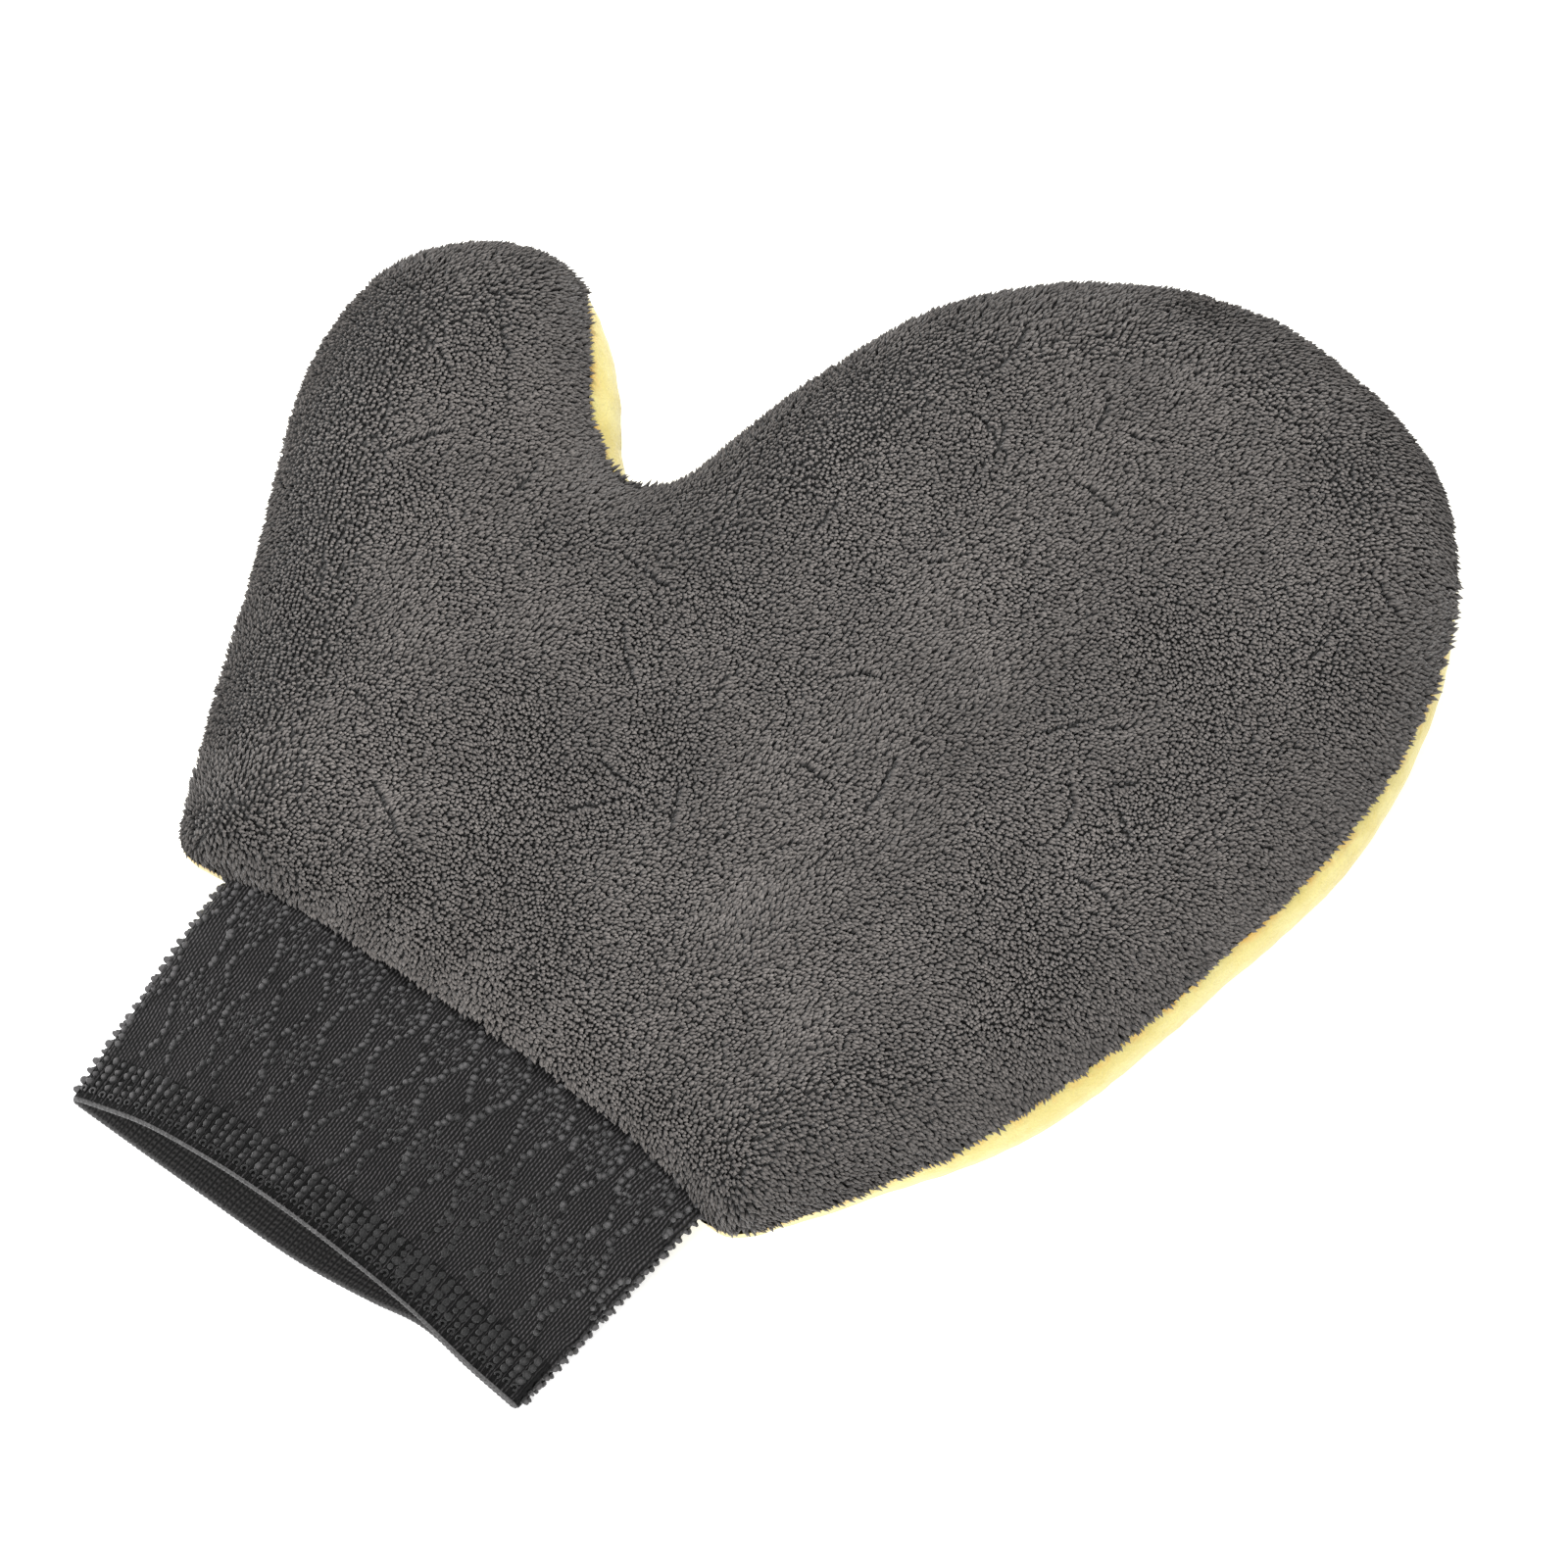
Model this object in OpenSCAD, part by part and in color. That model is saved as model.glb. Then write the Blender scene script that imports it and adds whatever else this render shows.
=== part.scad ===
// Wash mitt: two plush face panels over two linings, sewn round the edge, with a knitted elastic cuff.
// It lies on its back panel. X runs across the hand, away from the thumb, Y from the cuff mouth to
// the fingertips, and Z up. Each panel is held as a palm, a finger and a thumb piece, so that the
// mitt can fold where a hand inside it bends.

/* [Hand pocket] */
// Length from the cuff mouth to the fingertips
mitt_l = 269; // [262:1:276]
// Thickness of the mitt as it lies
mitt_t = 34; // [30:1:38]
// Radius of the round fingertip end
tip_r = 72; // [68:1:75]

/* [Thumb pocket] */
// Distance from the cuff mouth to the tip of the thumb
thumb_l = 193.5; // [188:0.5:198]
// Radius of the round thumb tip
thumb_r = 26.5; // [24:0.5:29]

/* [Cloth] */
// Thickness of a face or back panel with its pile
panel_t = 4.5; // [3:0.5:5]
// Thickness of a lining
lining_t = 1.5; // [1:0.25:2]
// Width of the sewn edge inside the lining
seam_w = 2.4; // [1.5:0.1:3]
// Thickness of the sewn edge
seam_t = 2; // [1:0.25:3]

/* [Cuff] */
// Length of the cuff from its mouth to the mitt
cuff_l = 49; // [44:1:54]
// Flat width of the cuff at its mouth
mouth_w = 108; // [100:1:114]
// Flat width of the cuff where it joins the mitt
join_w = 119; // [112:1:122]
// Height of the open mouth, outside
mouth_t = 16; // [14:1:20]
// Height of the cuff where it joins the mitt, outside
join_t = 20; // [17:1:22]
// Thickness of the knitted cuff
cuff_wall = 2.5; // [2:0.25:3]
// Width of the elastic hem at the mouth
hem_w = 12; // [8:1:16]

/* [Folds] */
// How far the fingers and the cuff fold over the face
fold_deg = 60; // [30:5:60]
// How far the thumb folds over the face
thumb_fold_deg = 45; // [30:5:60]
// Distance of the thumb's fold above the crotch
thumb_fold_up = 12; // [8:1:16]
// Space left in a fold at mid height
fold_gap = 0.8; // [0.6:0.1:1.5]

/* [Hidden] */

half_t = mitt_t / 2;
wall = panel_t + lining_t;
heel_y = cuff_l + half_t;
// Size of a block that cuts right across the mitt, and how far a cut runs past a face
far = 400;
cut = 0.5;

// Round pads that the mitt is stretched over: centre x, centre y, radius
tip = [44, mitt_l - tip_r, tip_r];
outer_side = [50, 150, 62];
outer_heel = [45, 105, 55];
outer_corner = [51, heel_y, half_t];
thumb_corner = [-54, heel_y, half_t];
thumb_tip = [-83.5, thumb_l - thumb_r, thumb_r];
thumb_web = [-20, 110, 22];
pad_groups = [
    [tip, outer_side, thumb_corner],
    [outer_side, outer_heel, thumb_corner],
    [outer_heel, outer_corner, thumb_corner],
    [thumb_tip, thumb_corner, thumb_web],
];

// The middle of the whole mitt, which becomes the origin
middle = [(tip[0] + tip_r + thumb_tip[0] - thumb_r) / 2, mitt_l / 2, 0];

// Folds: a point on the line and its turn from the X axis
knuckles = [38, 168];
knuckles_turn = -12;
crotch = [-43, 163];
thumb_turn = 38;
thumb_root = crotch + thumb_fold_up * [-sin(thumb_turn), cos(thumb_turn)];

// The cuff slopes from the middle of the mitt down to the surface it lies on
join_x = 3.5;
slope = (half_t - mouth_t / 2) / cuff_l;
slice_t = 0.01;

// The wrist opening, and the ring of thread round it: its thickness and its place past the cuff
opening_w = join_w - 2 * cuff_wall;
opening_h = join_t - 2 * cuff_wall;
opening_l = 60;
thread = 1.2;
thread_in = 8.5;

// The elastic hem lies inside the wall of the cuff: its two faces and its start
hem_out = 0.35 * cuff_wall;
hem_in = 0.65 * cuff_wall;
hem_start = 1;

plush_grey = [0.40, 0.39, 0.38];
plush_yellow = [0.96, 0.89, 0.56];
lining_grey = [0.62, 0.61, 0.60];
thread_grey = [0.45, 0.44, 0.43];
knit_grey = [0.22, 0.22, 0.22];

// ---- the stuffed shape of the mitt ----

// One round pad with a fully rounded edge, smaller by inset all round
module pad(p, inset)
    translate([p[0], p[1], half_t])
        rotate_extrude($fn = 48)
            intersection() {
                translate([0, -half_t]) square([p[2], mitt_t]);
                union() {
                    translate([p[2] - half_t, 0]) circle(half_t - inset, $fn = 24);
                    translate([0, inset - half_t]) square([p[2] - half_t, mitt_t - 2 * inset]);
                }
            }

// The whole mitt as one solid, smaller by inset all round
module mitt_solid(inset)
    for (group = pad_groups)
        hull() for (p = group) pad(p, inset);

// A layer of cloth between two insets
module layer(outside, inside)
    difference() {
        mitt_solid(outside);
        mitt_solid(inside);
    }

// ---- cutting shapes ----

// Everything past a fold line
module past(point, turn)
    translate([point[0], point[1], -1]) rotate([0, 0, turn])
        translate([-far / 2, 0, 0]) cube([far, far, mitt_t + 2]);

// The open wedge above a fold line, and the thin gap below it
module fold_wedge(point, turn, bend) {
    gap = fold_gap / 2;
    top = half_t + 1;
    reach = gap + top * tan(bend / 2);
    translate([point[0], point[1], half_t]) rotate([0, 0, turn]) rotate([90, 0, 90])
        linear_extrude(far, center = true)
            polygon([[gap, 0], [reach, top], [-reach, top], [-gap, 0], [-gap, -top], [gap, -top]]);
}

module thumb_side() translate([crotch[0] - far, -far / 2, -far / 2]) cube([far, far * 2, far]);
module finger_side() translate([crotch[0], -far / 2, -far / 2]) cube([far, far * 2, far]);
module face_side() translate([-far / 2, -far / 2, half_t]) cube([far, far * 2, far]);
module back_side() translate([-far / 2, -far / 2, half_t - far]) cube([far, far * 2, far]);

module fingers_only()
    difference() {
        intersection() {
            children();
            past(knuckles, knuckles_turn);
            finger_side();
        }
        fold_wedge(knuckles, knuckles_turn, fold_deg);
    }

module thumb_only()
    difference() {
        intersection() {
            children();
            past(thumb_root, thumb_turn);
            thumb_side();
        }
        fold_wedge(thumb_root, thumb_turn, thumb_fold_deg);
    }

module palm_only()
    difference() {
        children();
        intersection() {
            union() {
                past(knuckles, knuckles_turn);
                fold_wedge(knuckles, knuckles_turn, fold_deg);
            }
            finger_side();
        }
        intersection() {
            union() {
                past(thumb_root, thumb_turn);
                fold_wedge(thumb_root, thumb_turn, thumb_fold_deg);
            }
            thumb_side();
        }
        fold_wedge([0, cuff_l], 0, fold_deg);
        hand_way();
        cuff_thread(thread);
    }

// ---- the cuff ----

// The points of an oval w wide and h high
function oval(w, h) = [for (a = [0 : 10 : 350]) [w / 2 * cos(a), h / 2 * sin(a)]];

// A thin oval slice of the cuff at a place along it, smaller by inset all round
module cuff_slice(y, inset) {
    part = y / cuff_l;
    w = mouth_w + (join_w - mouth_w) * part - 2 * inset;
    h = mouth_t + (join_t - mouth_t) * part - 2 * inset;
    translate([join_x * part, y, mouth_t / 2 + slope * y]) rotate([90, 0, 0])
        linear_extrude(slice_t) polygon(oval(w, h));
}

module cuff_solid(from, to, inset)
    hull() {
        cuff_slice(from, inset);
        cuff_slice(to, inset);
    }

// The way the hand takes from the cuff into the mitt
module hand_way()
    translate([join_x, cuff_l + opening_l / 2, half_t]) rotate([90, 0, 0])
        linear_extrude(opening_l) polygon(oval(opening_w, opening_h));

// An oval ring round the way in, where the cuff is sewn to the mitt
module cuff_thread(size)
    difference() {
        translate([join_x, cuff_l + thread_in, half_t]) rotate([90, 0, 0])
            linear_extrude(2 * size) polygon(oval(opening_w + 2 * size, opening_h + 2 * size));
        hand_way();
    }

module hem_band()
    difference() {
        cuff_solid(hem_start, hem_w, hem_out);
        cuff_solid(hem_start - cut, hem_w + cut, hem_in);
    }

// ---- layers ----

module face_layer() intersection() { layer(0, panel_t); face_side(); }
module back_layer() intersection() { layer(0, panel_t); back_side(); }
module face_lining() intersection() { layer(panel_t, wall); face_side(); }
module back_lining() intersection() { layer(panel_t, wall); back_side(); }
module edge_seam()
    intersection() {
        layer(wall, wall + seam_w);
        translate([-far / 2, -far / 2, half_t - seam_t / 2]) cube([far, far * 2, seam_t]);
    }

// ---- sub-parts ----

module centred() translate(-middle) children();

module face_palm() color(plush_grey) centred() palm_only() face_layer();
module back_palm() color(plush_yellow) centred() palm_only() back_layer();
module face_lining_palm() color(lining_grey) centred() palm_only() face_lining();
module back_lining_palm() color(lining_grey) centred() palm_only() back_lining();
module edge_seam_palm() color(thread_grey) centred() palm_only() edge_seam();
module cuff_seam() color(thread_grey) centred() cuff_thread(thread);

module face_fingers() color(plush_grey) centred() fingers_only() face_layer();
module back_fingers() color(plush_yellow) centred() fingers_only() back_layer();
module face_lining_fingers() color(lining_grey) centred() fingers_only() face_lining();
module back_lining_fingers() color(lining_grey) centred() fingers_only() back_lining();
module edge_seam_fingers() color(thread_grey) centred() fingers_only() edge_seam();

module face_thumb() color(plush_grey) centred() thumb_only() face_layer();
module back_thumb() color(plush_yellow) centred() thumb_only() back_layer();
module face_lining_thumb() color(lining_grey) centred() thumb_only() face_lining();
module back_lining_thumb() color(lining_grey) centred() thumb_only() back_lining();
module edge_seam_thumb() color(thread_grey) centred() thumb_only() edge_seam();

module rib_cuff()
    color(knit_grey) centred()
        difference() {
            cuff_solid(0, cuff_l, 0);
            translate([0, -cut, 0]) cuff_solid(0, cuff_l + 2 * cut, cuff_wall);
            fold_wedge([0, cuff_l], 0, fold_deg);
            translate([-far / 2, cuff_l - fold_gap / 2, -far / 2]) cube(far);
            hem_band();
        }

module hem_elastic() color(thread_grey) centred() hem_band();

face_palm();
back_palm();
face_lining_palm();
back_lining_palm();
edge_seam_palm();
cuff_seam();
face_fingers();
back_fingers();
face_lining_fingers();
back_lining_fingers();
edge_seam_fingers();
face_thumb();
back_thumb();
face_lining_thumb();
back_lining_thumb();
edge_seam_thumb();
rib_cuff();
hem_elastic();
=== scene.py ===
"""A plush wash mitt that lies on its yellow back on a pale floor, seen from above and in front."""
import math
import bpy
import numpy as np
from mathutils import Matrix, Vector
from mathutils.geometry import delaunay_2d_cdt
from numpy.random import default_rng


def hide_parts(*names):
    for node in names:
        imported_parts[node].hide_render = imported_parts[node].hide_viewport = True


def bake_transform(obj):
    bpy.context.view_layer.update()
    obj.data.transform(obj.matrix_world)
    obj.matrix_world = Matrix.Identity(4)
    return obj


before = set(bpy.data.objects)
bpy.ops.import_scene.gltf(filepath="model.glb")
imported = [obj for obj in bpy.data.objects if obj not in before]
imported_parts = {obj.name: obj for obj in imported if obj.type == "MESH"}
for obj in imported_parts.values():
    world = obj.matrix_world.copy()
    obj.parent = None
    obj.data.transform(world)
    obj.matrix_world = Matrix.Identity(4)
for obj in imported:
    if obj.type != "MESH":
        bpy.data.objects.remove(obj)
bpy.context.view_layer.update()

# ---- sizes, in millimetres
# Plan coordinates have x = 0 at the middle of the cuff mouth and y = 0 at the cuff mouth.
# MIDDLE is the plan point that lies at the origin of the row frame.
MM = 0.001
MIDDLE = np.array([3.0, 134.5])
MID_Z = 17.0          # height of the sewn edge
SEED = 7

# The mitt's outline seen from above, with its pile: x, y, and how far the sewn edge rises there
OUTLINE = [
    (69.5, 51.5, 0), (87, 76, 2.5), (102.5, 103, 6.2), (113, 147, 6), (118.3, 190, 6.4),
    (109.5, 228, 4.0), (86.3, 259.8, 0), (48.5, 270, 0), (13, 260.4, 0), (-15.8, 234.5, 0),
    (-29.4, 199.5, 0), (-35.8, 171.5, 0), (-42.5, 164, 5.0), (-49.6, 170.6, 8.4),
    (-57, 179.6, 8.6), (-67.5, 188, 6.8), (-85, 194.2, 0), (-103.5, 183.5, 0), (-111.8, 164.5, 0),
    (-107.5, 138, 0), (-88.6, 97, 0),
    (-71.6, 57, 0), (-64.5, 48, 0), (-46, 50.3, 0), (3, 51.9, 0), (50, 51.6, 0), (63, 49, 0),
]
JOIN_X = 3.5          # middle of the seam between cuff and mitt
JOIN_HALF_W = 59.5
JOIN_HALF_T = 9.5
CUFF_L = 50.0

GREY_COVER = 2.1      # thickness of the pile over the base cloth
YELLOW_COVER = 0.8
EDGE_RUN = 21.0       # how far in from the edge the face keeps rising
FACE_RISE = 12.5      # height of the face above the sewn edge, at the end of that run
CROWN = 3.0           # further rise towards the middle of the face
BACK_RUN = 17.0
BACK_DROP = 15.4
LINING_GAP = 3.2      # lining inside the base cloth
CROWN_REACH = 26.0    # the crown's rise is mostly done this far in from the edge
LUMP_REACH = 12.0     # the face's lumps have their full height from this far in
GATHER_GAP = 17.0     # the folds over the cuff stand this far apart
GATHER_REACH = 38.0   # and run this far up into the mitt
MOUTH_REACH = 46.0    # the open wrist end fades into the closed edge over this length
ROW_TURN = math.radians(24)   # the pile stands in faint rows that run this way
HEM_GAP = 2.2         # the hem's knots stand in columns this far apart
HEM_L = 9.8           # length of the hem band
PAIR_GAP = 12.2       # zig-zag pairs of knot columns stand this far apart
PAIR_AT = 0.6
PAIR_HALF = 1.7       # half the width of a pair where it is narrowest
PAIR_SPREAD = 3.0     # how much that half grows where the pair is widest
BAND_GAP = 19.6       # the pairs are widest this far apart along the cuff
BAND_AT = 26.5

CROTCH = np.array([-43.0, 163.0])
THUMB_TURN = math.radians(38)
THUMB_WAY = np.array([-math.sin(THUMB_TURN), math.cos(THUMB_TURN)])


# ---- small helpers

def smooth_step(low, high, x):
    t = np.clip((x - low) / (high - low), 0, 1)
    return t * t * (3 - 2 * t)


def unit(v):
    return v / np.maximum(np.linalg.norm(v, axis=-1, keepdims=True), 1e-9)


def turned(xy, angle):
    c, s = math.cos(angle), math.sin(angle)
    return xy @ np.array([[c, s], [-s, c]])


def waves(xy, seed, length, count=9):
    """Smooth random heights from -1 to 1 whose bumps are about length across."""
    rng = default_rng(seed)
    total = np.zeros(len(xy))
    for _ in range(count):
        turn = rng.uniform(0, math.tau)
        size = length * rng.uniform(0.7, 1.6)
        way = np.array([math.cos(turn), math.sin(turn)]) * math.tau / size
        total += np.sin(xy @ way + rng.uniform(0, math.tau))
    return total / (0.5 * count) ** 0.5 / 2


def to_row(points):
    """Plan millimetres to row-frame metres."""
    out = np.array(points, float)
    out[:, :2] -= MIDDLE
    return out * MM


def run_along(path):
    """How far along the path each of its points lies."""
    return np.concatenate([[0], np.cumsum(np.linalg.norm(np.diff(path, axis=0), axis=1))])


def places_at(want, run, path):
    """Points of a path at the wanted distances along it."""
    return np.stack([np.interp(want, run, path[:, i]) for i in range(path.shape[1])], 1)


def between(a, b, count):
    """The faces between two rings of points, whose first points are a and b."""
    return [[a + i, a + (i + 1) % count, b + (i + 1) % count, b + i] for i in range(count)]


def in_scene(name, data):
    obj = bpy.data.objects.new(name, data)
    bpy.context.scene.collection.objects.link(obj)
    return obj


def new_mesh(name, points, corners, sizes, materials):
    """A mesh from plan millimetres; corners lists its faces' points, one face after another."""
    mesh = bpy.data.meshes.new(name)
    mesh.vertices.add(len(points))
    mesh.vertices.foreach_set("co", to_row(points).astype(np.float32).ravel())
    mesh.loops.add(len(corners))
    mesh.loops.foreach_set("vertex_index", corners)
    mesh.polygons.add(len(sizes))
    starts = np.concatenate([[0], np.cumsum(sizes)[:-1]]).astype(np.int32)
    mesh.polygons.foreach_set("loop_start", starts)
    mesh.polygons.foreach_set("use_smooth", np.full(len(sizes), True))
    for material in materials:
        mesh.materials.append(material)
    return mesh


def new_object(mesh, marks):
    """An object for a mesh; marks are named numbers per point, which materials read."""
    mesh.update(calc_edges=True)
    for label, values in marks.items():
        layer = mesh.attributes.new(label, "FLOAT", "POINT")
        layer.data.foreach_set("value", np.asarray(values, np.float32))
    return in_scene(mesh.name, mesh)


def mesh_object(name, points, faces, *materials, uv=None, kinds=None, marks=None):
    """A mesh object from plan millimetres; uv is a map in millimetres."""
    sizes = np.array([len(f) for f in faces], np.int32)
    corners = np.fromiter((i for f in faces for i in f), np.int32)
    mesh = new_mesh(name, points, corners, sizes, materials)
    if uv is not None:
        layer = mesh.uv_layers.new(name="knit")
        layer.data.foreach_set("uv", uv[corners].astype(np.float32).ravel())
    if kinds is not None:
        mesh.polygons.foreach_set("material_index", np.asarray(kinds, np.int32))
    return new_object(mesh, marks or {})


def keep_faces(points, faces, wanted):
    """The points and faces left when only the wanted faces are kept."""
    faces = [f for f, w in zip(faces, wanted) if w]
    used = np.unique(np.concatenate(faces))
    new = np.full(len(points), -1)
    new[used] = np.arange(len(used))
    return points[used], [new[f].tolist() for f in faces], used


def settle(obj, body, slot, *nodes):
    """Bakes a piece's placement and hides the CAD nodes it stands for; body and slot, how it bends
    and its material slot, are not used.
    """
    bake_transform(obj)
    if nodes:
        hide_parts(*nodes)


def in_thumb(xy):
    """True where a plan point belongs to the thumb, past the line through the crotch."""
    return ((xy - CROTCH) @ THUMB_WAY > 0) & (xy[:, 0] < CROTCH[0])


# ---- outline and depth

def closed_spline(knots, per_span=24):
    """A smooth closed curve through the knots (Catmull-Rom)."""
    k = np.array(knots, float)
    rows = []
    t = np.linspace(0, 1, per_span, endpoint=False)[:, None]
    for i in range(len(k)):
        a, b, c, d = (k[(i + j) % len(k)] for j in (-1, 0, 1, 2))
        rows.append(0.5 * (2 * b + (c - a) * t + (2 * a - 5 * b + 4 * c - d) * t ** 2
                           + (3 * b - a - 3 * c + d) * t ** 3))
    return np.concatenate(rows)


def spaced(curve, step):
    """The closed curve again, with points step apart."""
    ring = np.vstack([curve, curve[:1]])
    run = run_along(ring[:, :2])
    return places_at(np.linspace(0, run[-1], int(run[-1] / step), endpoint=False), run, ring)


class Depth:
    """How far inside the outline a plan point lies, without sharp ridges."""

    STEP = 1.5
    BLUR = 2.2

    def __init__(self, outline):
        ring = outline[:, :2]
        self.low = ring.min(0) - 12
        nx, ny = ((ring.max(0) + 12 - self.low) / self.STEP).astype(int) + 2
        grid = np.indices((nx, ny)).reshape(2, -1).T * self.STEP + self.low
        best = np.full(len(grid), 1e9)
        inside = np.zeros(len(grid), bool)
        for p, q in zip(ring, np.roll(ring, -1, axis=0)):
            edge = q - p
            t = np.clip(((grid - p) @ edge) / (edge @ edge), 0, 1)
            best = np.minimum(best, ((grid - p - t[:, None] * edge) ** 2).sum(1))
            crosses = (p[1] > grid[:, 1]) != (q[1] > grid[:, 1])
            if edge[1] != 0:
                at = p[0] + (grid[:, 1] - p[1]) / edge[1] * edge[0]
                inside ^= crosses & (grid[:, 0] < at)
        depth = np.sqrt(best) * np.where(inside, 1, -1)
        value = self.blurred(depth.reshape(nx, ny))
        self.table = np.stack([value, *np.gradient(value, self.STEP)], -1)
        self.size = np.array([nx, ny])

    def blurred(self, field):
        reach = int(3 * self.BLUR / self.STEP) + 1
        k = np.exp(-0.5 * (np.arange(-reach, reach + 1) * self.STEP / self.BLUR) ** 2)
        k /= k.sum()
        for axis in (0, 1):
            field = np.apply_along_axis(
                lambda row: np.convolve(np.pad(row, reach, mode="edge"), k, "valid"), axis, field)
        return field

    def covers(self, xy):
        return ((xy > self.low) & (xy < self.low + (self.size - 2) * self.STEP)).all(1)

    def at(self, xy):
        """Depth and its slope at plan points."""
        g = (xy - self.low) / self.STEP
        i, j = np.clip(g.astype(int), 0, self.size - 2).T
        fx, fy = (g[:, 0] - i)[:, None], (g[:, 1] - j)[:, None]
        low, high = (self.table[i, k] * (1 - fx) + self.table[i + 1, k] * fx for k in (j, j + 1))
        found = low * (1 - fy) + high * fy
        return found[:, 0], found[:, 1:]


outline = spaced(closed_spline(OUTLINE), 1.6)
depth = Depth(outline)
PATH_STEP = 0.3       # the longest move of a way inwards
LEVEL_STEP = 0.5      # the ways are kept at depths this far apart


def inward_paths(deepest):
    """For each outline point, where its way inwards crosses each depth from 0 to deepest."""
    place = outline[:, :2].copy()
    levels = np.arange(0, deepest + 0.01, LEVEL_STEP)
    tracks = np.repeat(place[:, None, :], len(levels), axis=1)
    for k in range(1, len(levels)):
        for _ in range(40):
            value, slope = depth.at(place)
            short = levels[k] - value
            if (short < 0.01).all():
                break
            speed = np.maximum((slope ** 2).sum(1), 0.05)
            move = np.clip(short, 0, PATH_STEP) / speed
            place = place + slope * np.minimum(move, 1.0)[:, None]
        tracks[:, k] = place
    return levels, tracks


DEEPEST = GREY_COVER + LINING_GAP + EDGE_RUN + 2
LEVELS, TRACKS = inward_paths(DEEPEST)


def beside(index):
    """The outline points on either side of a place, and the share between them."""
    i = np.floor(index).astype(int)
    return i % len(outline), (i + 1) % len(outline), index - i


def on_track(index, level):
    """Plan points on the inward ways: index counts outline points and may be a fraction."""
    a, b, f = beside(index)
    g = np.clip(level / LEVEL_STEP, 0, len(LEVELS) - 1.001)
    j = g.astype(int)
    h = (g - j)[:, None]
    pa, pb = (TRACKS[i, j] * (1 - h) + TRACKS[i, j + 1] * h for i in (a, b))
    return pa * (1 - f[:, None]) + pb * f[:, None]


def lift_at(index):
    """How far the sewn edge rises at places on the outline."""
    a, b, f = beside(index)
    return outline[a, 2] * (1 - f) + outline[b, 2] * f


# ---- the two faces

def puckers(xy):
    """The small ripples that the sewing leaves along the edge."""
    small = 0.14 * waves(xy, SEED + 14, 5.5)
    return small + 0.22 * waves(xy, SEED + 11, 15.0) + 0.3 * waves(xy, SEED + 12, 48.0)


def gathers(xy):
    """Soft folds that run up into the mitt from the narrower elastic cuff."""
    near = (1 - smooth_step(CUFF_L, CUFF_L + GATHER_REACH, xy[:, 1])) * (xy[:, 1] > 0)
    within = 1 - smooth_step(46, 66, np.abs(xy[:, 0] - JOIN_X))
    phase = xy[:, 0] * math.tau / GATHER_GAP + 1.3 * waves(xy, SEED + 13, 40.0)
    return near * within * np.sin(phase)


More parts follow.
